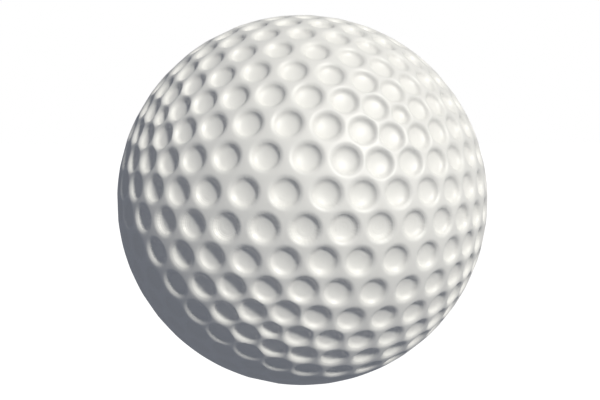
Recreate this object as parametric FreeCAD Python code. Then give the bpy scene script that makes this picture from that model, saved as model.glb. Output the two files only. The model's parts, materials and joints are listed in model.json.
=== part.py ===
import FreeCAD, Part
import math
import os

from FreeCAD import Vector

# A five-piece golf ball: a two-part rubber core, two mantles and a dimpled cover.
# The origin is the centre of the ball and +Z is an axis of its dimple pattern.

# Driving dimensions, in millimetres and degrees

BALL_DIAMETER = 42.67            # across the lands, 1.680 in, the smallest ball that the rules allow
COVER_THICKNESS = 1.10           # under the lands
OUTER_MANTLE_THICKNESS = 1.00
INNER_MANTLE_THICKNESS = 0.95
INNER_CORE_DIAMETER = 24.00

POLE_DIMPLE_DIAMETER = 2.28      # the twelve dimples that have five neighbours
RING_DIMPLE_DIAMETER = 2.74      # the dimples beside a pole dimple
SHOULDER_DIMPLE_DIAMETER = 2.76  # the dimples two steps from a pole dimple
FIELD_DIMPLE_DIAMETER = 2.95     # all the others
DIMPLE_RIM_ROUND = 0.54          # radius of the rounded edge between the land and the wall
DIMPLE_WALL_ANGLE = 54.0         # of the wall, from the land at the dimple's edge
DIMPLE_WALL_WIDTH = 0.035        # of the straight part of the wall, seen from above
DIMPLE_FOOT_ROUND = 0.62         # radius between the wall and the dished floor
DIMPLE_FLOOR_ANGLE = 17.0        # of the floor where it meets the foot's round, from the land

LEAST_LAND = 0.02                # between the edges of two neighbouring dimples

CENTRE = Vector(0, 0, 0)
POLE = Vector(0, 0, 1)
SAME_POINT = 1e-6                # directions nearer than this are one direction

# The angle at which a dimple's rounded edge passes through the land, which keeps the cut a clean one
RIM_CROSSING_ANGLE = 12.0
CUTTER_REACH = 2.0               # size of the parting cutter, in ball radii

# Sizes that follow from the driving dimensions

BALL_RADIUS = BALL_DIAMETER / 2
COVER_INNER_RADIUS = BALL_RADIUS - COVER_THICKNESS
OUTER_MANTLE_INNER_RADIUS = COVER_INNER_RADIUS - OUTER_MANTLE_THICKNESS
INNER_MANTLE_INNER_RADIUS = OUTER_MANTLE_INNER_RADIUS - INNER_MANTLE_THICKNESS
INNER_CORE_RADIUS = INNER_CORE_DIAMETER / 2

# Dimple diameters by the number of pattern steps from the nearest pole dimple
DIMPLE_DIAMETERS = [
    POLE_DIMPLE_DIAMETER,
    RING_DIMPLE_DIAMETER,
    SHOULDER_DIMPLE_DIAMETER,
    FIELD_DIMPLE_DIAMETER,
]


def export(name, shape):
    """Write one piece to its own file in the parts folder."""
    solid = shape.Solids[0]
    print(name, "valid", shape.isValid(), "solids", len(shape.Solids), "volume", round(solid.Volume, 2))
    solid.exportStep(f"parts/{name}.step")


# The dimple pattern


def icosahedron():
    """Return the corners of an icosahedron on the unit sphere, one at +Z, and its faces."""
    latitude = math.atan(0.5)
    corners = [POLE]
    for side, turn in ((1, 0), (-1, 36)):
        for k in range(5):
            azimuth = math.radians(72 * k + turn)
            flat = math.cos(latitude)
            height = side * math.sin(latitude)
            corners.append(Vector(flat * math.cos(azimuth), flat * math.sin(azimuth), height))
    corners.append(-POLE)
    faces = []
    for i in range(12):
        for j in range(i + 1, 12):
            for k in range(j + 1, 12):
                a, b, c = corners[i], corners[j], corners[k]
                if min(a * b, b * c, c * a) > 0.4:
                    faces.append((a, b, c))
    return faces


def dimple_diameter(steps):
    """Return the diameter of a dimple some pattern steps away from the nearest pole dimple."""
    return DIMPLE_DIAMETERS[min(steps, len(DIMPLE_DIAMETERS) - 1)]


class DimplePattern:
    """The dimple centres, one per point of an icosahedron's divided faces, and their triangles.

    The steps are the dimples along one edge of the icosahedron.
    """

    def __init__(self, steps):
        self.steps = steps
        self.centres = []          # directions from the centre of the ball
        self.steps_from_pole = []
        self.triangles = []        # the numbers of three neighbouring dimples
        self.numbers = {}
        for face in icosahedron():
            self.add_face(face)

    def number(self, face, i, j):
        """Return the number of the dimple at i, j on a face, which neighbouring faces share."""
        k = self.steps - i - j
        direction = face[0] * i + face[1] * j + face[2] * k
        direction.normalize()
        key = tuple(round(value / SAME_POINT) for value in direction)
        if key not in self.numbers:
            self.numbers[key] = len(self.centres)
            self.centres.append(direction)
            self.steps_from_pole.append(self.steps - max(i, j, k))
        return self.numbers[key]

    def add_face(self, face):
        """Add the dimples and the triangles of one face of the icosahedron."""
        for i in range(self.steps):
            for j in range(self.steps - i):
                near = self.number(face, i, j)
                across = self.number(face, i + 1, j)
                along = self.number(face, i, j + 1)
                self.triangles.append((near, across, along))
                if i + j + 2 <= self.steps:
                    far = self.number(face, i + 1, j + 1)
                    self.triangles.append((far, across, along))

    def least_land(self):
        """Return the least width of land that is left between two neighbouring dimples."""
        widths = []
        for triangle in self.triangles:
            for a, b in zip(triangle, triangle[1:] + triangle[:1]):
                diameters = [dimple_diameter(self.steps_from_pole[n]) for n in (a, b)]
                spacing = BALL_RADIUS * (self.centres[a] - self.centres[b]).Length
                widths.append(spacing - sum(diameters) / 2)
        return min(widths)

    def upper(self):
        """Return the numbers of the dimples on the upper half of the cover.

        The dimples on the equator belong to the two halves in turn, so that the parting line runs
        round them on the lands.
        """
        numbers = range(len(self.centres))
        equator = [n for n in numbers if abs(self.centres[n].z) < SAME_POINT]
        equator.sort(key=lambda n: math.atan2(self.centres[n].y, self.centres[n].x))
        above = {n for n in numbers if self.centres[n].z > SAME_POINT}
        return above.union(equator[::2])

    def corner(self, triangle):
        """Return the direction that is equally far from three neighbouring dimples."""
        a, b, c = (self.centres[n] for n in triangle)
        direction = (b - a).cross(c - a)
        direction.normalize()
        return direction if direction * a > 0 else -direction

    def parting_line(self):
        """Return the corners of the parting line's zigzag, in order round the ball."""
        upper = self.upper()
        by_edge = {}
        for triangle in self.triangles:
            for a, b in zip(triangle, triangle[1:] + triangle[:1]):
                if (a in upper) != (b in upper):
                    by_edge.setdefault(frozenset((a, b)), []).append(triangle)
        links = {}
        for first, second in by_edge.values():
            links.setdefault(first, []).append(second)
            links.setdefault(second, []).append(first)
        line = [next(iter(links))]
        following = links[line[0]][0]
        while following != line[0]:
            line.append(following)
            one, other = links[following]
            following = other if one == line[-2] else one
        return [self.corner(triangle) for triangle in line]


def round_end(start, radius, first, last):
    """Return where a round that sets out with one slope reaches another one.

    The way leads in towards the dimple's centre. A radius above 0 turns it down, and a radius below
    0 turns it level again.
    """
    across = math.sin(last) - math.sin(first)
    rise = math.cos(last) - math.cos(first)
    return start + Vector(-across, 0, rise) * radius


def round_edge(start, radius, first, last):
    """Return the edge of a round between two slopes."""
    middle = round_end(start, radius, first, (first + last) / 2)
    return Part.Arc(start, middle, round_end(start, radius, first, last)).toShape()


def closest_pattern():
    """Return the pattern with the most dimples that still leave the least land between them."""
    pattern = DimplePattern(1)
    following = DimplePattern(2)
    while following.least_land() >= LEAST_LAND:
        pattern = following
        following = DimplePattern(pattern.steps + 1)
    return pattern


def dimple_tool(diameter):
    """Return the solid that cuts one dimple, with its centre on +Z.

    The section is a dished floor, a round up to a straight wall, and a rounded edge, which passes
    through the ball's surface at the dimple's diameter and ends in a straight rise.
    """
    edge = Vector(diameter / 2, 0, math.sqrt(BALL_RADIUS ** 2 - diameter ** 2 / 4))
    land = -math.asin(edge.x / BALL_RADIUS)
    crossing = land + math.radians(RIM_CROSSING_ANGLE)
    wall = land + math.radians(DIMPLE_WALL_ANGLE)
    floor = land + math.radians(DIMPLE_FLOOR_ANGLE)

    rim_top = round_end(edge, DIMPLE_RIM_ROUND, crossing, land)
    wall_top = round_end(edge, DIMPLE_RIM_ROUND, crossing, wall)
    wall_foot = wall_top - Vector(1, 0, math.tan(wall)) * DIMPLE_WALL_WIDTH
    floor_edge = round_end(wall_foot, -DIMPLE_FOOT_ROUND, wall, floor)
    floor_round = floor_edge.x / math.sin(floor)
    floor_centre = round_end(floor_edge, -floor_round, floor, 0)
    lid_centre = POLE * (BALL_RADIUS + DIMPLE_RIM_ROUND)
    lid_edge = Vector(rim_top.x, 0, lid_centre.z)
    section = Part.Wire([
        Part.makeLine(lid_centre, lid_edge),
        Part.makeLine(lid_edge, rim_top),
        round_edge(rim_top, DIMPLE_RIM_ROUND, land, wall),
        Part.makeLine(wall_top, wall_foot),
        round_edge(wall_foot, -DIMPLE_FOOT_ROUND, wall, floor),
        round_edge(floor_edge, -floor_round, floor, 0),
        Part.makeLine(floor_centre, lid_centre),
    ])
    return Part.Face(section).revolve(CENTRE, POLE, 360)


def dimple_tools(pattern):
    """Return one dimple cutter for each dimple of the pattern."""
    shapes = {diameter: dimple_tool(diameter) for diameter in DIMPLE_DIAMETERS}
    tools = []
    for direction, steps in zip(pattern.centres, pattern.steps_from_pole):
        tool = shapes[dimple_diameter(steps)].copy()
        tool.Placement = FreeCAD.Placement(CENTRE, FreeCAD.Rotation(POLE, direction))
        tools.append(tool)
    return tools


# The pieces


def triangle_face(*corners):
    """Return a flat face with three corners."""
    return Part.Face(Part.makePolygon([*corners, corners[0]]))


def parting_cutter(pattern):
    """Return a solid that holds all that is above the cover's parting line."""
    reach = BALL_RADIUS * CUTTER_REACH
    line = [corner * reach for corner in pattern.parting_line()]
    top = POLE * (2 * reach)
    faces = []
    for near, far in zip(line, line[1:] + line[:1]):
        faces.append(triangle_face(CENTRE, near, far))
        faces.append(triangle_face(top, near, far))
    return Part.makeSolid(Part.makeShell(faces))


def cover_halves():
    """Return the upper and the lower half of the dimpled cover."""
    pattern = closest_pattern()
    blank = Part.makeSphere(BALL_RADIUS).cut(Part.makeSphere(COVER_INNER_RADIUS))
    cover = blank.cut(dimple_tools(pattern))
    cutter = parting_cutter(pattern)
    return cover.common(cutter), cover.cut(cutter)


def half_shell(inner_radius, outer_radius, side):
    """Return half of a hollow ball, above the equator for side 1 and below it for side -1."""
    outer = Part.makeSphere(outer_radius, CENTRE, POLE * side, 0, 90, 360)
    return outer.cut(Part.makeSphere(inner_radius))


def main():
    os.makedirs("parts", exist_ok=True)
    export("inner_core", Part.makeSphere(INNER_CORE_RADIUS))
    layers = {
        "outer_core": (INNER_CORE_RADIUS, INNER_MANTLE_INNER_RADIUS),
        "inner_mantle": (INNER_MANTLE_INNER_RADIUS, OUTER_MANTLE_INNER_RADIUS),
        "outer_mantle": (OUTER_MANTLE_INNER_RADIUS, COVER_INNER_RADIUS),
    }
    for layer, (inner_radius, outer_radius) in layers.items():
        export(f"{layer}_upper", half_shell(inner_radius, outer_radius, 1))
        export(f"{layer}_lower", half_shell(inner_radius, outer_radius, -1))
    upper, lower = cover_halves()
    export("cover_upper", upper)
    export("cover_lower", lower)


main()
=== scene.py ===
"""Looks of a golf ball: a dimpled, painted cover over two mantles and a two-part core."""

import json
import logging
import math
from collections.abc import Iterator
from dataclasses import dataclass
from enum import Enum
from typing import Any

import bpy
from mathutils import Matrix, Vector


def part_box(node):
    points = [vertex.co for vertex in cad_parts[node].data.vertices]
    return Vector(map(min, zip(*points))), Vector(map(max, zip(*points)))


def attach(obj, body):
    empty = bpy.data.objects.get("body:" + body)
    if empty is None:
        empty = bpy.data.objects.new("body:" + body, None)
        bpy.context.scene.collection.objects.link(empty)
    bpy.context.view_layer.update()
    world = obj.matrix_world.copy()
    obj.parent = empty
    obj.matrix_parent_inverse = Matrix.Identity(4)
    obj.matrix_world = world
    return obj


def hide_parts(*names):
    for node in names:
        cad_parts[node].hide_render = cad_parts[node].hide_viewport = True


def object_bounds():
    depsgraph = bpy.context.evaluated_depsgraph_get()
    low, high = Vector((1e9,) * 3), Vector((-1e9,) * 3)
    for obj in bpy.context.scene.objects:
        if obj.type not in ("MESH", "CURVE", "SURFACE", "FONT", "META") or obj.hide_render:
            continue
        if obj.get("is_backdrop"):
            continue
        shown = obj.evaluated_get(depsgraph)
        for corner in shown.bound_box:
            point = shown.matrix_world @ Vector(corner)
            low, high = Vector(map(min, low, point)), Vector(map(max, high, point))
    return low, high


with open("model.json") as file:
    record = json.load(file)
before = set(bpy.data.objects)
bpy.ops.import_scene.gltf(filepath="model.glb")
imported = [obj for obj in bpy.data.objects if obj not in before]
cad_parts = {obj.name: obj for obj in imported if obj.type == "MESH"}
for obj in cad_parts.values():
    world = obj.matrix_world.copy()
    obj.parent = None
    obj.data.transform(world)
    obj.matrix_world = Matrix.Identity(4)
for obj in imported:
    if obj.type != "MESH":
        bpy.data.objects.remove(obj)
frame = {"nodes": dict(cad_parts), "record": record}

CAD_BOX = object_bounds()
BODY = "root"
MM = 0.001  # one millimetre, in the scene's metres
MIX_A, MIX_B, MIX_RESULT = 6, 7, 2  # the colour inputs and the colour output of a Mix node

log = logging.getLogger("golf_ball")


# Nodes and colours


def add_node(tree: bpy.types.NodeTree, kind: str, inputs: dict[str | int, Any] | None = None,
             **settings: Any) -> bpy.types.Node:
    """Add a node to a tree, with its settings and what feeds it.

    Args:
        tree: The node tree that the node joins.
        kind: Blender's name for the node's type.
        inputs: For an input's name or number, the value it holds or the output that feeds it.
        **settings: The node's own settings.

    Returns:
        The new node.
    """
    node = tree.nodes.new(kind)
    for name, value in settings.items():
        setattr(node, name, value)
    for key, value in (inputs or {}).items():
        if isinstance(value, bpy.types.NodeSocket):
            tree.links.new(value, node.inputs[key])
        else:
            node.inputs[key].default_value = value
    return node


def linear(colour: str) -> tuple[float, float, float, float]:
    """Turn a colour from sRGB to linear.

    Args:
        colour: Six hex digits, two for each of red, green and blue.

    Returns:
        Linear red, green and blue, and an alpha of 1.
    """
    def channel(value: float) -> float:
        """Turn one sRGB channel to linear."""
        return value / 12.92 if value <= 0.04045 else ((value + 0.055) / 1.055) ** 2.4

    red, green, blue = (channel(int(colour[i:i + 2], 16) / 255) for i in (0, 2, 4))
    return red, green, blue, 1.0


def new_material(name: str) -> tuple[bpy.types.Material, bpy.types.NodeTree, bpy.types.Node]:
    """Make a material with nothing in its tree but an output.

    Args:
        name: The material's name.

    Returns:
        The material, its node tree and the output node.
    """
    material = bpy.data.materials.new(name)
    material.use_nodes = True
    material.node_tree.nodes.clear()
    output = add_node(material.node_tree, "ShaderNodeOutputMaterial")
    return material, material.node_tree, output


# Finishes


@dataclass(frozen=True)
class PolyurethanePaint:
    """Two-part white polyurethane paint, sprayed on a moulded cover.

    It gives the eye an even, faintly warm white with a satin sheen, which lights the shoulders of
    the dimples softly and shows no sharp highlight. The sprayed film dries with a fine ripple, like
    orange peel, and lies a little thicker and whiter in some places.
    """

    name: str = "polyurethane_paint_white"
    colour: str = "F5F4F0"
    thin_colour: str = "F1F0EB"     # where the film lies thinner
    roughness: float = 0.50
    roughness_spread: float = 0.1   # share by which the film's thickness changes it
    specular: float = 0.83
    ior: float = 1.5
    film_patch: float = 7.0 * MM    # size of the patches of thicker film
    ripple: float = 0.55 * MM       # from one orange-peel ripple to the next, drawn a little coarse
    ripple_height: float = 0.0012 * MM

    def material(self) -> bpy.types.Material:
        """Build the paint.

        Returns:
            The material.
        """
        material, tree, output = new_material(self.name)
        place = add_node(tree, "ShaderNodeTexCoord").outputs["Object"]
        film = add_node(tree, "ShaderNodeTexNoise",
                        {"Vector": place, "Scale": 1 / self.film_patch, "Detail": 3.0})
        colour = add_node(tree, "ShaderNodeMix",
                          {"Factor": film.outputs["Fac"], MIX_A: linear(self.thin_colour),
                           MIX_B: linear(self.colour)}, data_type="RGBA")
        roughness = add_node(tree, "ShaderNodeMapRange",
                             {"Value": film.outputs["Fac"],
                              "To Min": self.roughness * (1 + self.roughness_spread),
                              "To Max": self.roughness * (1 - self.roughness_spread)})
        ripple = add_node(tree, "ShaderNodeTexNoise",
                          {"Vector": place, "Scale": 1 / self.ripple, "Detail": 1.0})
        bump = add_node(tree, "ShaderNodeBump",
                        {"Height": ripple.outputs["Fac"], "Distance": self.ripple_height})
        shader = add_node(tree, "ShaderNodeBsdfPrincipled",
                          {"Base Color": colour.outputs[MIX_RESULT],
                           "Roughness": roughness.outputs[0], "IOR": self.ior,
                           "Specular IOR Level": self.specular, "Normal": bump.outputs[0]})
        tree.links.new(shader.outputs[0], output.inputs["Surface"])
        return material


@dataclass(frozen=True)
class MouldedIonomer:
    """Ionomer resin as it leaves the mould: a milky, waxy plastic with faint flow marks."""

    name: str
    colour: str
    flow_colour: str
    roughness: float = 0.38
    ior: float = 1.51
    flow_width: float = 3.0 * MM      # width of the flow marks
    mould_grain: float = 0.12 * MM    # grain of the blasted mould
    grain_height: float = 0.002 * MM

    def material(self) -> bpy.types.Material:
        """Build the resin.

        Returns:
            The material.
        """
        material, tree, output = new_material(self.name)
        place = add_node(tree, "ShaderNodeTexCoord").outputs["Object"]
        flow = add_node(tree, "ShaderNodeTexNoise",
                        {"Vector": place, "Scale": 1 / self.flow_width, "Detail": 4.0,
                         "Distortion": 1.5})
        colour = add_node(tree, "ShaderNodeMix",
                          {"Factor": flow.outputs["Fac"], MIX_A: linear(self.flow_colour),
                           MIX_B: linear(self.colour)}, data_type="RGBA")
        grain = add_node(tree, "ShaderNodeTexNoise",
                         {"Vector": place, "Scale": 1 / self.mould_grain, "Detail": 2.0})
        bump = add_node(tree, "ShaderNodeBump",
                        {"Height": grain.outputs["Fac"], "Distance": self.grain_height})
        shader = add_node(tree, "ShaderNodeBsdfPrincipled",
                          {"Base Color": colour.outputs[MIX_RESULT], "Roughness": self.roughness,
                           "IOR": self.ior, "Normal": bump.outputs[0]})
        tree.links.new(shader.outputs[0], output.inputs["Surface"])
        return material


@dataclass(frozen=True)
class MouldedRubber:
    """Polybutadiene rubber, compression moulded: dull, with flecks of ground filler in it."""

    name: str
    colour: str
    fleck_colour: str
    roughness: float = 0.8
    ior: float = 1.52
    fleck_spacing: float = 1.1 * MM   # from one fleck to the next
    fleck_size: float = 0.16          # of the spacing
    fleck_edge: float = 0.5           # softness of a fleck's edge, of its size
    pore_spacing: float = 0.3 * MM    # the skin's fine pores
    pore_depth: float = 0.01 * MM

    def material(self) -> bpy.types.Material:
        """Build the rubber.

        Returns:
            The material.
        """
        material, tree, output = new_material(self.name)
        place = add_node(tree, "ShaderNodeTexCoord").outputs["Object"]
        cells = add_node(tree, "ShaderNodeTexVoronoi",
                         {"Vector": place, "Scale": 1 / self.fleck_spacing})
        fleck = add_node(tree, "ShaderNodeMapRange",
                         {"Value": cells.outputs["Distance"], "From Min": self.fleck_size,
                          "From Max": self.fleck_size * (1 + self.fleck_edge),
                          "To Min": 1.0, "To Max": 0.0})
        colour = add_node(tree, "ShaderNodeMix",
                          {"Factor": fleck.outputs[0], MIX_A: linear(self.colour),
                           MIX_B: linear(self.fleck_colour)}, data_type="RGBA")
        pores = add_node(tree, "ShaderNodeTexNoise",
                         {"Vector": place, "Scale": 1 / self.pore_spacing, "Detail": 3.0})
        bump = add_node(tree, "ShaderNodeBump",
                        {"Height": pores.outputs["Fac"], "Distance": self.pore_depth})
        shader = add_node(tree, "ShaderNodeBsdfPrincipled",
                          {"Base Color": colour.outputs[MIX_RESULT], "Roughness": self.roughness,
                           "IOR": self.ior, "Normal": bump.outputs[0]})
        tree.links.new(shader.outputs[0], output.inputs["Surface"])
        return material


# The dimples


class Half(Enum):
    """The two halves of the cover, which meet on the interlocking parting line."""

    UPPER = "cover_upper"
    LOWER = "cover_lower"


@dataclass(frozen=True)
class Bend:
    """One bend of a dimple's section, on the way in from the rim."""

    name: str
    radius: float      # above 0 it turns down, and below 0 it turns level again
    slope: float       # where it ends, in degrees from the land
    rings: int         # of the mesh


@dataclass(frozen=True)
class BendStart:
    """Where a bend starts: its slope in radians, its way in from the rim and its depth."""

    slope: float
    inset: float
    drop: float


@dataclass(frozen=True)
class DimpleKind:
    """One kind of dimple: its rim and the bends of its section, in metres."""

    rim_diameter: float
    bends: tuple[Bend, ...]
    floor_rings: int = 2

    @property
    def rim_radius(self) -> float:
        """Half the rim's diameter."""
        return self.rim_diameter / 2

    def rim_drop(self, distance: float) -> float:
        """Return how far the rim's bend has dropped at a distance from the dimple's centre.

        Args:
            distance: The distance, along the land.

        Returns:
            The drop, which is 0 outside the rim.
        """
        inset = max(0.0, self.rim_radius - distance)
        radius = self.bends[0].radius
        return radius - math.sqrt(radius ** 2 - inset ** 2)

    def starts(self) -> list[BendStart]:
        """Follow the section in from the rim.

        Returns:
            Where each bend starts, and after them where the floor does.
        """
        found = [BendStart(0.0, 0.0, 0.0)]
        for bend in self.bends:
            start = found[-1]
            slope = math.radians(bend.slope)
            inset = bend.radius * (math.sin(slope) - math.sin(start.slope))
            drop = bend.radius * (math.cos(start.slope) - math.cos(slope))
            found.append(BendStart(slope, start.inset + inset, start.drop + drop))
        return found


NEAR_POLE_BENDS = (
    Bend("Lip", 0.44 * MM, 59.8, 4),
    Bend("Foot", -0.55 * MM, 15.9, 4),
)
FIELD_BENDS = (
    Bend("Lip", 0.58 * MM, 39.1, 4),
    Bend("Ledge", -0.15 * MM, 28.9, 1),
    Bend("Step", 0.11 * MM, 59.4, 2),
    Bend("Foot", -0.69 * MM, 14.5, 3),
)
KINDS = (
    DimpleKind(2.44 * MM, NEAR_POLE_BENDS),  # the pole dimples, which have five neighbours
    DimpleKind(3.03 * MM, NEAR_POLE_BENDS),  # one step from a pole dimple
    DimpleKind(3.07 * MM, NEAR_POLE_BENDS),  # two steps from it
    DimpleKind(3.23 * MM, FIELD_BENDS),      # all the others
)


class DimplePattern:
    """The dimples' centres and the corners of their cells, from an icosahedron's divided faces."""

    SAME_POINT = 1e-6   # directions nearer than this are one direction
    FACE_COSINE = 0.4   # corners of one face lie at a smaller angle than this cosine's

    def __init__(self, steps: int, kinds: tuple[DimpleKind, ...], radius: float) -> None:
        """Lay out the pattern.

        Args:
            steps: Dimples along one edge of the icosahedron.
            kinds: The kinds of dimple, by their steps from a pole dimple. The last kind is also
                that of all dimples further away.
            radius: The ball's radius.
        """
        self.steps = steps
        self.kinds = kinds
        self.radius = radius
        self.centres: list[Vector] = []
        self.kind_numbers: list[int] = []
        self.corners: list[Vector] = []
        self.cells: dict[int, list[int]] = {}
        self.numbers: dict[tuple[int, ...], int] = {}
        for face in self.icosahedron():
            self.add_face(face)
        for number, corners in self.cells.items():
            corners.sort(key=lambda corner: self.bearing(number, corner))

    @classmethod
    def icosahedron(cls) -> Iterator[tuple[Vector, Vector, Vector]]:
        """Yield the faces of an icosahedron on the unit sphere with a corner at +Z."""
        latitude = math.atan(0.5)
        tips = [Vector((0, 0, 1)), Vector((0, 0, -1))]
        for side, turn in ((1, 0), (-1, 36)):
            for k in range(5):
                azimuth = math.radians(72 * k + turn)
                flat = math.cos(latitude)
                tips.append(Vector((flat * math.cos(azimuth), flat * math.sin(azimuth),
                                    side * math.sin(latitude))))
        for i, a in enumerate(tips):
            for j, b in enumerate(tips[i + 1:], i + 1):
                for c in tips[j + 1:]:
                    if min(a.dot(b), b.dot(c), c.dot(a)) > cls.FACE_COSINE:
                        yield a, b, c

    def number(self, face: tuple[Vector, Vector, Vector], i: int, j: int) -> int:
        """Find or add the dimple at a place on a face.

        Args:
            face: The icosahedron's face.
            i: Steps towards the face's first corner.
            j: Steps towards its second corner.

        Returns:
            The dimple's number, which neighbouring faces share.
        """
        k = self.steps - i - j
        centre = (face[0] * i + face[1] * j + face[2] * k).normalized()
        key = tuple(round(value / self.SAME_POINT) for value in centre)
        if key not in self.numbers:
            self.numbers[key] = len(self.centres)
            self.centres.append(centre)
            self.kind_numbers.append(min(self.steps - max(i, j, k), len(self.kinds) - 1))
        return self.numbers[key]

    def add_face(self, face: tuple[Vector, Vector, Vector]) -> None:
        """Add the dimples and the cell corners of one face of the icosahedron."""
        for i in range(self.steps):
            for j in range(self.steps - i):
                near = self.number(face, i, j)
                across = self.number(face, i + 1, j)
                along = self.number(face, i, j + 1)
                self.add_corner(near, across, along)
                if i + j + 2 <= self.steps:
                    self.add_corner(self.number(face, i + 1, j + 1), across, along)

    def kind(self, number: int) -> DimpleKind:
        """Return the kind of a dimple."""
        return self.kinds[self.kind_numbers[number]]

    def add_corner(self, *dimples: int) -> None:
        """Add the point that is equally far outside the rims of three neighbouring dimples."""
        a, b, c = (self.centres[number] / math.cos(self.kind(number).rim_radius / self.radius)
                   for number in dimples)
        corner = (b - a).cross(c - a).normalized()
        self.corners.append(corner if corner.dot(a) > 0 else -corner)
        for number in dimples:
            self.cells.setdefault(number, []).append(len(self.corners) - 1)

    def bearing(self, number: int, corner: int) -> float:
        """Return the direction from a dimple's centre to a corner, as an angle round the centre."""
        centre = self.centres[number]
        ahead = centre.orthogonal()
        return math.atan2(self.corners[corner].dot(centre.cross(ahead)),
                          self.corners[corner].dot(ahead))

    def half(self, half: Half) -> list[int]:
        """List the dimples of one half of the cover.

        The dimples on the equator belong to the halves in turn, so that the parting line runs
        round them on the lands.

        Args:
            half: The half.

        Returns:
            The numbers of its dimples.
        """
        equator = [n for n, centre in enumerate(self.centres) if abs(centre.z) < self.SAME_POINT]
        equator.sort(key=lambda n: math.atan2(self.centres[n].y, self.centres[n].x))
        side = 1 if half is Half.UPPER else -1
        own = [n for n, centre in enumerate(self.centres) if side * centre.z > self.SAME_POINT]
        first = 0 if half is Half.UPPER else 1
        return own + equator[first::2]


# The cover


class PressTree:
    """The Geometry Nodes tree that presses the dimples of one kind into a smooth half cover.

    Every dimple starts as one face, its cell, which carries the dimple's centre and the number of
    its kind. Each ring of the dimple is one extrusion of that face, and what is left of the face
    after the last ring closes on the dimple's centre.
    """

    CENTRE = "centre"
    KIND = "kind"
    PRESSED = "pressed"
    NO_KIND = -1                    # of a face that takes no dimple
    WITHIN = 0.97                   # a ring stays within this share of the way out to the last
    SHARP_EDGE = math.radians(60)   # an edge that turns further than this stays sharp
    MERGE = 0.001 * MM              # points nearer than this become one
    BEND_SIZES = ("Radius", "First Slope", "Last Slope", "First Inset", "First Drop", "First Ring")

    def __init__(self, bends: tuple[Bend, ...]) -> None:
        """Build the tree and its groups.

        Args:
            bends: The bends of the dimple's section.
        """
        self.ring = self.build_ring()
        self.bend = self.build_bend()
        self.floor = self.build_floor()
        self.tree = self.build([bend.name for bend in bends])

    @staticmethod
    def new_tree(
            name: str, sizes: tuple[str, ...], counts: tuple[str, ...] = (), material: bool = False,
    ) -> tuple[bpy.types.NodeTree, bpy.types.Node, bpy.types.Node]:
        """Start a tree with its inputs and its output.

        Args:
            name: The tree's name.
            sizes: Names of its number inputs.
            counts: Names of its whole-number inputs.
            material: Whether it has a material input.

        Returns:
            The tree, its input node and its output node.
        """
        tree = bpy.data.node_groups.new(name, "GeometryNodeTree")
        tree.interface.new_socket("Geometry", in_out="INPUT", socket_type="NodeSocketGeometry")
        for size in sizes:
            tree.interface.new_socket(size, in_out="INPUT", socket_type="NodeSocketFloat")
        for count in counts:
            tree.interface.new_socket(count, in_out="INPUT", socket_type="NodeSocketInt")
        if material:
            tree.interface.new_socket("Material", in_out="INPUT",
                                      socket_type="NodeSocketMaterial")
        tree.interface.new_socket("Geometry", in_out="OUTPUT", socket_type="NodeSocketGeometry")
        return tree, add_node(tree, "NodeGroupInput"), add_node(tree, "NodeGroupOutput")

    def way_out(self, tree: bpy.types.NodeTree) -> bpy.types.NodeSocket:
        """Add the direction from the middle of the ball to a face's dimple.

        Args:
            tree: The tree to add it to.

        Returns:
            The direction, one unit long.
        """
        centre = add_node(tree, "GeometryNodeInputNamedAttribute", {"Name": self.CENTRE},
                          data_type="FLOAT_VECTOR")
        return add_node(tree, "ShaderNodeVectorMath", {0: centre.outputs["Attribute"]},
                        operation="NORMALIZE").outputs[0]

    def build_ring(self) -> bpy.types.NodeTree:
        """Build the group that presses one ring of each dimple.

        Returns:
            The group, whose Reach is the ring's distance from the dimple's centre, along the
            land, and whose Drop is its depth below the land.
        """
        tree, given, result = self.new_tree("Press Ring", ("Ball Radius", "Reach", "Drop"))
        pressed = add_node(tree, "GeometryNodeInputNamedAttribute", {"Name": self.PRESSED},
                           data_type="BOOLEAN")
        extrude = add_node(tree, "GeometryNodeExtrudeMesh",
                           {"Mesh": given.outputs["Geometry"],
                            "Selection": pressed.outputs["Attribute"], "Offset Scale": 0.0,
                            "Individual": True})
        marked = add_node(tree, "GeometryNodeStoreNamedAttribute",
                          {"Geometry": extrude.outputs["Mesh"], "Name": self.PRESSED,
                           "Value": extrude.outputs["Top"]},
                          data_type="BOOLEAN", domain="FACE")
        unit = self.way_out(tree)
        place = add_node(tree, "GeometryNodeInputPosition")
        shadow = add_node(tree, "ShaderNodeVectorMath", {0: place.outputs[0], 1: unit},
                          operation="PROJECT")
        outward = add_node(tree, "ShaderNodeVectorMath",
                           {0: place.outputs[0], 1: shadow.outputs[0]}, operation="SUBTRACT")
        tangent = add_node(tree, "ShaderNodeVectorMath", {0: outward.outputs[0]},
                           operation="NORMALIZE")
        angle = add_node(tree, "ShaderNodeMath",
                         {0: given.outputs["Reach"], 1: given.outputs["Ball Radius"]},
                         operation="DIVIDE")
        sine = add_node(tree, "ShaderNodeMath", {0: angle.outputs[0]}, operation="SINE")
        cosine = add_node(tree, "ShaderNodeMath", {0: angle.outputs[0]}, operation="COSINE")
        level = add_node(tree, "ShaderNodeMath",
                         {0: given.outputs["Ball Radius"], 1: given.outputs["Drop"]},
                         operation="SUBTRACT")
        along = add_node(tree, "ShaderNodeVectorMath",
                         {0: unit, "Scale": cosine.outputs[0]}, operation="SCALE")
        aside = add_node(tree, "ShaderNodeVectorMath",
                         {0: tangent.outputs[0], "Scale": sine.outputs[0]}, operation="SCALE")
        direction = add_node(tree, "ShaderNodeVectorMath",
                             {0: along.outputs[0], 1: aside.outputs[0]}, operation="ADD")
        target = add_node(tree, "ShaderNodeVectorMath",
                          {0: direction.outputs[0], "Scale": level.outputs[0]}, operation="SCALE")
        moved = add_node(tree, "GeometryNodeSetPosition",
                         {"Geometry": marked.outputs[0], "Selection": pressed.outputs["Attribute"],
                          "Position": target.outputs[0]})
        tree.links.new(moved.outputs[0], result.inputs["Geometry"])
        return tree

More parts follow.
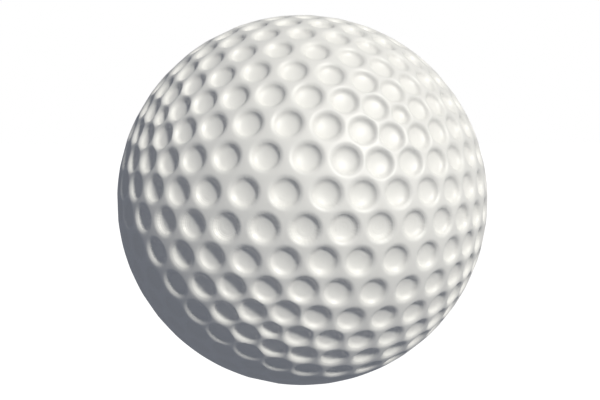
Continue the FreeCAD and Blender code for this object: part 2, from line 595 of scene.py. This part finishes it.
    def room(self, tree: bpy.types.NodeTree,
             given: bpy.types.Node) -> bpy.types.NodeSocket:
        """Add the sum that gives how far from the dimple's centre a new ring may lie.

        Args:
            tree: The tree to add it to.
            given: The tree's input node.

        Returns:
            The distance, a little short of the ring before or of the cell's edge.
        """
        unit = self.way_out(tree)
        place = add_node(tree, "GeometryNodeInputPosition")
        ray = add_node(tree, "ShaderNodeVectorMath", {0: place.outputs[0]},
                       operation="NORMALIZE")
        cosine = add_node(tree, "ShaderNodeVectorMath", {0: ray.outputs[0], 1: unit},
                          operation="DOT_PRODUCT")
        angle = add_node(tree, "ShaderNodeMath", {0: cosine.outputs["Value"]},
                         operation="ARCCOSINE")
        distance = add_node(tree, "ShaderNodeMath",
                            {0: angle.outputs[0], 1: given.outputs["Ball Radius"]},
                            operation="MULTIPLY")
        return add_node(tree, "ShaderNodeMath", {0: distance.outputs[0], 1: self.WITHIN},
                        operation="MULTIPLY").outputs[0]

    @staticmethod
    def start_rings(tree: bpy.types.NodeTree,
                    given: bpy.types.Node) -> tuple[bpy.types.Node, bpy.types.Node]:
        """Start the loop that presses one ring after another.

        Args:
            tree: The tree to add it to.
            given: The tree's input node, which says how many rings there are.

        Returns:
            The loop's first node and its last node.
        """
        repeat = add_node(tree, "GeometryNodeRepeatInput")
        until = add_node(tree, "GeometryNodeRepeatOutput")
        repeat.pair_with_output(until)
        tree.links.new(given.outputs["Rings"], repeat.inputs["Iterations"])
        tree.links.new(given.outputs["Geometry"], repeat.inputs["Geometry"])
        return repeat, until

    def build_bend(self) -> bpy.types.NodeTree:
        """Build the group that presses the rings of a bend, from one slope to another.

        Returns:
            The group.
        """
        tree, given, result = self.new_tree(
            "Press Bend", ("Ball Radius", "Rim Radius", *self.BEND_SIZES), ("Rings",))
        repeat, until = self.start_rings(tree, given)
        last = add_node(tree, "ShaderNodeMath", {0: given.outputs["Rings"], 1: 1.0},
                        operation="SUBTRACT")
        slope = add_node(tree, "ShaderNodeMapRange",
                         {"Value": repeat.outputs["Iteration"],
                          "From Min": given.outputs["First Ring"], "From Max": last.outputs[0],
                          "To Min": given.outputs["First Slope"],
                          "To Max": given.outputs["Last Slope"]})
        first_sine, first_cosine, sine = (
            add_node(tree, "ShaderNodeMath", {0: angle}, operation=operation).outputs[0]
            for angle, operation in ((given.outputs["First Slope"], "SINE"),
                                     (given.outputs["First Slope"], "COSINE"),
                                     (slope.outputs[0], "SINE")))
        turned = add_node(tree, "ShaderNodeMath", {0: sine, 1: first_sine}, operation="SUBTRACT")
        inset = add_node(tree, "ShaderNodeMath",
                         {0: turned.outputs[0], 1: given.outputs["Radius"],
                          2: given.outputs["First Inset"]}, operation="MULTIPLY_ADD")
        wanted = add_node(tree, "ShaderNodeMath",
                          {0: given.outputs["Rim Radius"], 1: inset.outputs[0]},
                          operation="SUBTRACT")
        reach = add_node(tree, "ShaderNodeMath",
                         {0: wanted.outputs[0], 1: self.room(tree, given)}, operation="MINIMUM")
        short = add_node(tree, "ShaderNodeMath", {0: wanted.outputs[0], 1: reach.outputs[0]},
                         operation="SUBTRACT")
        further = add_node(tree, "ShaderNodeMath",
                           {0: short.outputs[0], 1: given.outputs["Radius"]}, operation="DIVIDE")
        real_sine = add_node(tree, "ShaderNodeMath", {0: sine, 1: further.outputs[0]},
                             operation="ADD")
        real_slope = add_node(tree, "ShaderNodeMath", {0: real_sine.outputs[0]},
                              operation="ARCSINE")
        cosine = add_node(tree, "ShaderNodeMath", {0: real_slope.outputs[0]}, operation="COSINE")
        fallen = add_node(tree, "ShaderNodeMath", {0: first_cosine, 1: cosine.outputs[0]},
                          operation="SUBTRACT")
        drop = add_node(tree, "ShaderNodeMath",
                        {0: fallen.outputs[0], 1: given.outputs["Radius"],
                         2: given.outputs["First Drop"]}, operation="MULTIPLY_ADD")
        ring = add_node(tree, "GeometryNodeGroup",
                        {"Geometry": repeat.outputs["Geometry"],
                         "Ball Radius": given.outputs["Ball Radius"],
                         "Reach": reach.outputs[0], "Drop": drop.outputs[0]},
                        node_tree=self.ring)
        tree.links.new(ring.outputs["Geometry"], until.inputs["Geometry"])
        tree.links.new(until.outputs["Geometry"], result.inputs["Geometry"])
        return tree

    def build_floor(self) -> bpy.types.NodeTree:
        """Build the group that presses the rings of a dimple's dished floor, down to its centre.

        Returns:
            The group.
        """
        tree, given, result = self.new_tree(
            "Press Floor", ("Ball Radius", "Floor Radius", "Floor Slope", "Depth"), ("Rings",))
        repeat, until = self.start_rings(tree, given)
        count = add_node(tree, "ShaderNodeMath", {0: repeat.outputs["Iteration"], 1: 1.0},
                         operation="ADD")
        share = add_node(tree, "ShaderNodeMapRange",
                         {"Value": count.outputs[0], "From Max": given.outputs["Rings"],
                          "To Min": 1.0, "To Max": 0.0})
        radius = given.outputs["Floor Radius"]
        reach = add_node(tree, "ShaderNodeMath", {0: radius, 1: share.outputs[0]},
                         operation="MULTIPLY")
        half_slope = add_node(tree, "ShaderNodeMath", {0: given.outputs["Floor Slope"], 1: 0.5},
                              operation="MULTIPLY")
        rise = add_node(tree, "ShaderNodeMath", {0: half_slope.outputs[0]}, operation="TANGENT")
        dish = add_node(tree, "ShaderNodeMath", {0: rise.outputs[0], 1: radius},
                        operation="MULTIPLY")
        square = add_node(tree, "ShaderNodeMath", {0: share.outputs[0], 1: 2.0}, operation="POWER")
        rest = add_node(tree, "ShaderNodeMath", {0: 1.0, 1: square.outputs[0]},
                        operation="SUBTRACT")
        drop = add_node(tree, "ShaderNodeMath",
                        {0: dish.outputs[0], 1: rest.outputs[0], 2: given.outputs["Depth"]},
                        operation="MULTIPLY_ADD")
        ring = add_node(tree, "GeometryNodeGroup",
                        {"Geometry": repeat.outputs["Geometry"],
                         "Ball Radius": given.outputs["Ball Radius"],
                         "Reach": reach.outputs[0], "Drop": drop.outputs[0]},
                        node_tree=self.ring)
        tree.links.new(ring.outputs["Geometry"], until.inputs["Geometry"])
        tree.links.new(until.outputs["Geometry"], result.inputs["Geometry"])
        return tree

    def build(self, bends: list[str]) -> bpy.types.NodeTree:
        """Build the whole tree: every bend of the section, from the rim in, and the floor.

        Args:
            bends: The bends' names, which start the names of their inputs.

        Returns:
            The tree that the cover's modifier uses.
        """
        sizes = [f"{bend} {size}" for bend in bends for size in self.BEND_SIZES]
        tree, given, result = self.new_tree(
            "Press Dimples",
            ("Ball Radius", "Rim Radius", *sizes, "Floor Radius", "Floor Slope", "Depth"),
            ("Kind", *(f"{bend} Rings" for bend in bends), "Floor Rings"), True)
        kind = add_node(tree, "GeometryNodeInputNamedAttribute", {"Name": self.KIND},
                        data_type="INT")
        chosen = add_node(tree, "FunctionNodeCompare", data_type="INT", operation="EQUAL")
        own_kind, wanted_kind = (socket for socket in chosen.inputs if socket.type == "INT")
        tree.links.new(kind.outputs["Attribute"], own_kind)
        tree.links.new(given.outputs["Kind"], wanted_kind)
        shape = add_node(tree, "GeometryNodeStoreNamedAttribute",
                         {"Geometry": given.outputs["Geometry"], "Name": self.PRESSED,
                          "Value": chosen.outputs[0]},
                         data_type="BOOLEAN", domain="FACE").outputs["Geometry"]
        for bend in bends:
            own = {size: given.outputs[f"{bend} {size}"] for size in (*self.BEND_SIZES, "Rings")}
            own |= {size: given.outputs[size] for size in ("Ball Radius", "Rim Radius")}
            shape = add_node(tree, "GeometryNodeGroup", {"Geometry": shape} | own,
                             node_tree=self.bend).outputs["Geometry"]
        floor = add_node(tree, "GeometryNodeGroup",
                         {"Geometry": shape, "Ball Radius": given.outputs["Ball Radius"],
                          "Floor Radius": given.outputs["Floor Radius"],
                          "Floor Slope": given.outputs["Floor Slope"],
                          "Depth": given.outputs["Depth"],
                          "Rings": given.outputs["Floor Rings"]}, node_tree=self.floor)
        closed = add_node(tree, "GeometryNodeMergeByDistance",
                          {"Geometry": floor.outputs["Geometry"], "Distance": self.MERGE})
        edge = add_node(tree, "GeometryNodeInputMeshEdgeAngle")
        sharp = add_node(tree, "FunctionNodeCompare",
                         {"A": edge.outputs["Unsigned Angle"], "B": self.SHARP_EDGE},
                         operation="GREATER_THAN")
        smooth = add_node(tree, "GeometryNodeSetShadeSmooth",
                          {"Geometry": closed.outputs[0], "Selection": sharp.outputs[0],
                           "Shade Smooth": False}, domain="EDGE")
        whole = add_node(tree, "GeometryNodeRealizeInstances", {"Geometry": smooth.outputs[0]})
        painted = add_node(tree, "GeometryNodeSetMaterial",
                           {"Geometry": whole.outputs[0], "Material": given.outputs["Material"]})
        tree.links.new(painted.outputs[0], result.inputs["Geometry"])
        return tree


@dataclass
class Cover:
    """The dimpled cover, in two halves that meet on the lands."""

    radius: float
    inner_radius: float
    kinds: tuple[DimpleKind, ...]
    finish: PolyurethanePaint
    pattern_steps: int = 8  # dimples along one edge of the pattern's icosahedron
    edge_parts: int = 4     # points along one side of a dimple's cell

    def outline(self, pattern: DimplePattern, number: int,
                points: dict[tuple[int, int, int], Vector],
                drops: dict[tuple[int, int, int], list[float]]) -> list[tuple[int, int, int]]:
        """List the points round a dimple's cell, and add the new ones.

        Args:
            pattern: The dimple pattern.
            number: The dimple's number.
            points: The points so far, by a key that neighbouring cells share.
            drops: How far each cell's rim drops each of its points.

        Returns:
            The keys of the cell's points, in order round it.
        """
        corners = pattern.cells[number]
        keys = []
        for first, second in zip(corners, corners[1:] + corners[:1]):
            for part in range(self.edge_parts):
                low, high = sorted((first, second))
                step = part if low == first else self.edge_parts - part
                key = (first, first, 0) if part == 0 else (low, high, step)
                share = step / self.edge_parts
                if part:
                    place = pattern.corners[low].lerp(pattern.corners[high], share)
                else:
                    place = pattern.corners[first]
                points.setdefault(key, place.normalized())
                distance = pattern.centres[number].angle(place) * self.radius
                drops.setdefault(key, []).append(pattern.kind(number).rim_drop(distance))
                keys.append(key)
        return keys

    def blank(self, pattern: DimplePattern, half: Half) -> bpy.types.Object:
        """Build a half cover with no dimples: its skin, its inside and its parting walls.

        Args:
            pattern: The dimple pattern.
            half: The half.

        Returns:
            The closed blank, with one face for each cell.
        """
        points: dict[tuple[int, int, int], Vector] = {}
        drops: dict[tuple[int, int, int], list[float]] = {}
        dimples = pattern.half(half)
        outlines = [self.outline(pattern, number, points, drops) for number in dimples]
        index = {key: number for number, key in enumerate(points)}
        count = len(index)
        vertices = [point * (self.radius - sum(drops[key]) / len(drops[key]))
                    for key, point in points.items()]
        vertices += [point * self.inner_radius for point in points.values()]
        skin = [[index[key] for key in outline] for outline in outlines]
        inside = [[number + count for number in reversed(face)] for face in skin]
        edges = {edge for face in skin for edge in zip(face, face[1:] + face[:1])}
        walls = [[b, a, a + count, b + count] for a, b in edges if (b, a) not in edges]
        mesh = bpy.data.meshes.new(half.value)
        mesh.from_pydata(vertices, [], skin + inside + sorted(walls))
        blank_faces = len(inside) + len(walls)
        centres = [pattern.centres[number] for number in dimples]
        kinds = [pattern.kind_numbers[number] for number in dimples]
        centre = mesh.attributes.new(PressTree.CENTRE, "FLOAT_VECTOR", "FACE")
        centre.data.foreach_set("vector", [value for point in centres for value in point]
                                + [0.0] * (3 * blank_faces))
        kind = mesh.attributes.new(PressTree.KIND, "INT", "FACE")
        kind.data.foreach_set("value", kinds + [PressTree.NO_KIND] * blank_faces)
        mesh.shade_smooth()
        piece = bpy.data.objects.new(f"{half.value}_dimpled", mesh)
        bpy.context.scene.collection.objects.link(piece)
        return piece

    def press(self, piece: bpy.types.Object, kind_number: int, tree: bpy.types.NodeTree) -> None:
        """Press one kind of dimple into a half cover.

        Args:
            piece: The half cover.
            kind_number: The kind's number.
            tree: The tree that presses it.
        """
        kind = self.kinds[kind_number]
        starts = kind.starts()
        values = {
            "Ball Radius": self.radius,
            "Rim Radius": kind.rim_radius,
            "Kind": kind_number,
            "Floor Radius": kind.rim_radius - starts[-1].inset,
            "Floor Slope": starts[-1].slope,
            "Depth": starts[-1].drop,
            "Floor Rings": kind.floor_rings,
            "Material": piece.data.materials[0],
        }
        # The first bend has a ring on the rim. Each later one goes on from the ring before it.
        for bend, start, end in zip(kind.bends, starts, starts[1:]):
            values |= {
                f"{bend.name} Radius": bend.radius,
                f"{bend.name} First Slope": start.slope,
                f"{bend.name} Last Slope": end.slope,
                f"{bend.name} First Inset": start.inset,
                f"{bend.name} First Drop": start.drop,
                f"{bend.name} First Ring": 0.0 if start is starts[0] else -1.0,
                f"{bend.name} Rings": bend.rings,
            }
        modifier = piece.modifiers.new("Press Dimples", "NODES")
        modifier.node_group = tree
        for item in tree.interface.items_tree:
            if item.in_out == "INPUT" and item.name in values:
                modifier[item.identifier] = values[item.name]
        shape = piece.evaluated_get(bpy.context.evaluated_depsgraph_get())
        pressed = bpy.data.meshes.new_from_object(shape)
        piece.modifiers.remove(modifier)
        piece.data = pressed

    def build(self) -> list[bpy.types.Object]:
        """Build both halves of the cover.

        Returns:
            The two pieces.
        """
        pattern = DimplePattern(self.pattern_steps, self.kinds, self.radius)
        trees = {kind.bends: PressTree(kind.bends).tree for kind in self.kinds}
        paint = self.finish.material()
        pieces = []
        for half in Half:
            piece = self.blank(pattern, half)
            piece.data.materials.append(paint)
            for number, kind in enumerate(self.kinds):
                self.press(piece, number, trees[kind.bends])
            for name in (PressTree.CENTRE, PressTree.KIND, PressTree.PRESSED):
                piece.data.attributes.remove(piece.data.attributes[name])
            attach(piece, BODY)
            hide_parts(half.value)
            log.info("%s: %d faces", piece.name, len(piece.data.polygons))
            pieces.append(piece)
        return pieces


# The layers under the cover


@dataclass
class InnerLayers:
    """The core and the mantles, whose shapes are the frame's own."""

    finishes: dict[str, MouldedRubber | MouldedIonomer]

    def dress(self) -> None:
        """Give each inner node the finish of its layer."""
        for layer, finish in self.finishes.items():
            material = finish.material()
            for name, node in frame["nodes"].items():
                if name.startswith(layer):
                    node.data.materials.clear()
                    node.data.materials.append(material)
                    log.info("%s: %s", name, finish.name)


# The studio


@dataclass(frozen=True)
class Lamp:
    """A distant lamp with a soft edge."""

    name: str
    azimuth: float     # where it stands, in degrees; 0 is in front of the ball, at -Y
    elevation: float
    strength: float    # in watts per square metre
    spread: float      # how wide it looks from the ball, in degrees
    colour: str


@dataclass
class Studio:
    """The floor, the lamps, the surroundings and the camera."""

    radius: float
    lamps: tuple[Lamp, ...]
    surroundings: str = "70747E"
    surroundings_strength: float = 1.0
    backdrop: str = "FFFFFF"
    floor_colour: str = "F7F7F7"
    floor_strength: float = 1.2
    floor_size: float = 3.0          # from the ball to the floor's edge
    camera_azimuth: float = -9.44
    camera_elevation: float = 6.44
    camera_distance: float = 3.043   # in ball radii
    lens: float = 31.93              # focal length, in millimetres
    sensor: float = 36.0             # width, in millimetres
    shift: float = -0.0038           # sideways, in sensor widths
    clip_start: float = 1 * MM

    @staticmethod
    def direction(azimuth: float, elevation: float) -> Vector:
        """Return the direction from the ball to where something stands."""
        a, e = math.radians(azimuth), math.radians(elevation)
        return Vector((math.sin(a) * math.cos(e), -math.cos(a) * math.cos(e), math.sin(e)))

    def build_floor(self) -> None:
        """Lay a plain pale floor under the ball."""
        material, tree, output = new_material("floor_paper")
        shader = add_node(tree, "ShaderNodeEmission", {"Color": linear(self.floor_colour),
                                                       "Strength": self.floor_strength})
        tree.links.new(shader.outputs[0], output.inputs["Surface"])
        mesh = bpy.data.meshes.new("floor")
        side = self.floor_size
        corners = [(-side, -side), (side, -side), (side, side), (-side, side)]
        mesh.from_pydata([(x, y, -self.radius) for x, y in corners], [], [(0, 1, 2, 3)])
        mesh.materials.append(material)
        floor = bpy.data.objects.new("floor", mesh)
        # The floor is seen, but it sends no light to the ball.
        floor.visible_diffuse = False
        floor.visible_glossy = False
        bpy.context.scene.collection.objects.link(floor)
        floor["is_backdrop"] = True

    def build_surroundings(self) -> None:
        """Give the ball dim, even surroundings in front of a white backdrop."""
        world = bpy.data.worlds.new("surroundings")
        world.use_nodes = True
        tree = world.node_tree
        tree.nodes.clear()
        seen = add_node(tree, "ShaderNodeLightPath").outputs["Is Camera Ray"]
        dim = add_node(tree, "ShaderNodeBackground", {"Color": linear(self.surroundings),
                                                      "Strength": self.surroundings_strength})
        white = add_node(tree, "ShaderNodeBackground", {"Color": linear(self.backdrop)})
        mix = add_node(tree, "ShaderNodeMixShader",
                       {0: seen, 1: dim.outputs[0], 2: white.outputs[0]})
        add_node(tree, "ShaderNodeOutputWorld", {"Surface": mix.outputs[0]})
        bpy.context.scene.world = world

    def build_lamps(self) -> None:
        """Hang the lamps."""
        for lamp in self.lamps:
            light = bpy.data.lights.new(lamp.name, "SUN")
            light.energy = lamp.strength
            light.angle = math.radians(lamp.spread)
            light.color = linear(lamp.colour)[:3]
            holder = bpy.data.objects.new(lamp.name, light)
            towards = self.direction(lamp.azimuth, lamp.elevation)
            holder.rotation_euler = towards.to_track_quat("Z", "Y").to_euler()
            bpy.context.scene.collection.objects.link(holder)

    def build_camera(self) -> None:
        """Set up the camera."""
        data = bpy.data.cameras.new("camera")
        data.lens = self.lens
        data.sensor_width = self.sensor
        data.shift_x = self.shift
        data.clip_start = self.clip_start
        camera = bpy.data.objects.new("camera", data)
        back = self.direction(self.camera_azimuth, self.camera_elevation)
        turn = back.to_track_quat("Z", "Y").to_matrix().to_4x4()
        place = Matrix.Translation(back * self.camera_distance * self.radius)
        camera.matrix_world = place @ turn
        bpy.context.scene.collection.objects.link(camera)
        bpy.context.scene.camera = camera

    def build(self) -> None:
        """Build everything round the ball."""
        self.build_floor()
        self.build_surroundings()
        self.build_lamps()
        self.build_camera()
        bpy.context.scene.view_settings.view_transform = "Standard"


def write_sizes() -> None:
    """Put the frame's box and the visual model's box side by side; the result is not kept."""
    boxes = {"cad": CAD_BOX, "visual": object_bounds()}
    {name: [list(corner) for corner in box] for name, box in boxes.items()}


def main() -> None:
    """Build the cover, dress the inner layers and set up the studio."""
    logging.basicConfig(level=logging.INFO)
    tee_seat = frame["record"]["mounts"][0]["pos_m"]
    radius = Vector(tee_seat).length
    cover_inner_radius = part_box("outer_mantle_upper")[1].z
    Cover(radius, cover_inner_radius, KINDS, PolyurethanePaint()).build()
    InnerLayers({
        "inner_core": MouldedRubber("polybutadiene_rubber_orange", "C9472B", "E9A07A"),
        "outer_core": MouldedRubber("polybutadiene_rubber_blue", "2F6B93", "9FC3D6"),
        "inner_mantle": MouldedIonomer("ionomer_cream", "DCD6C2", "CFC8B2"),
        "outer_mantle": MouldedIonomer("ionomer_milky", "E9E6DC", "DDD9CC"),
    }).dress()
    key = Lamp("key", 28.4, 35.8, 2.67, 6.5, "FFFDF6")
    back = Lamp("back", 172.0, 2.0, 2.6, 8.0, "FFFFFF")
    Studio(radius, (key, back)).build()
    write_sizes()


if __name__ == "__main__":
    main()
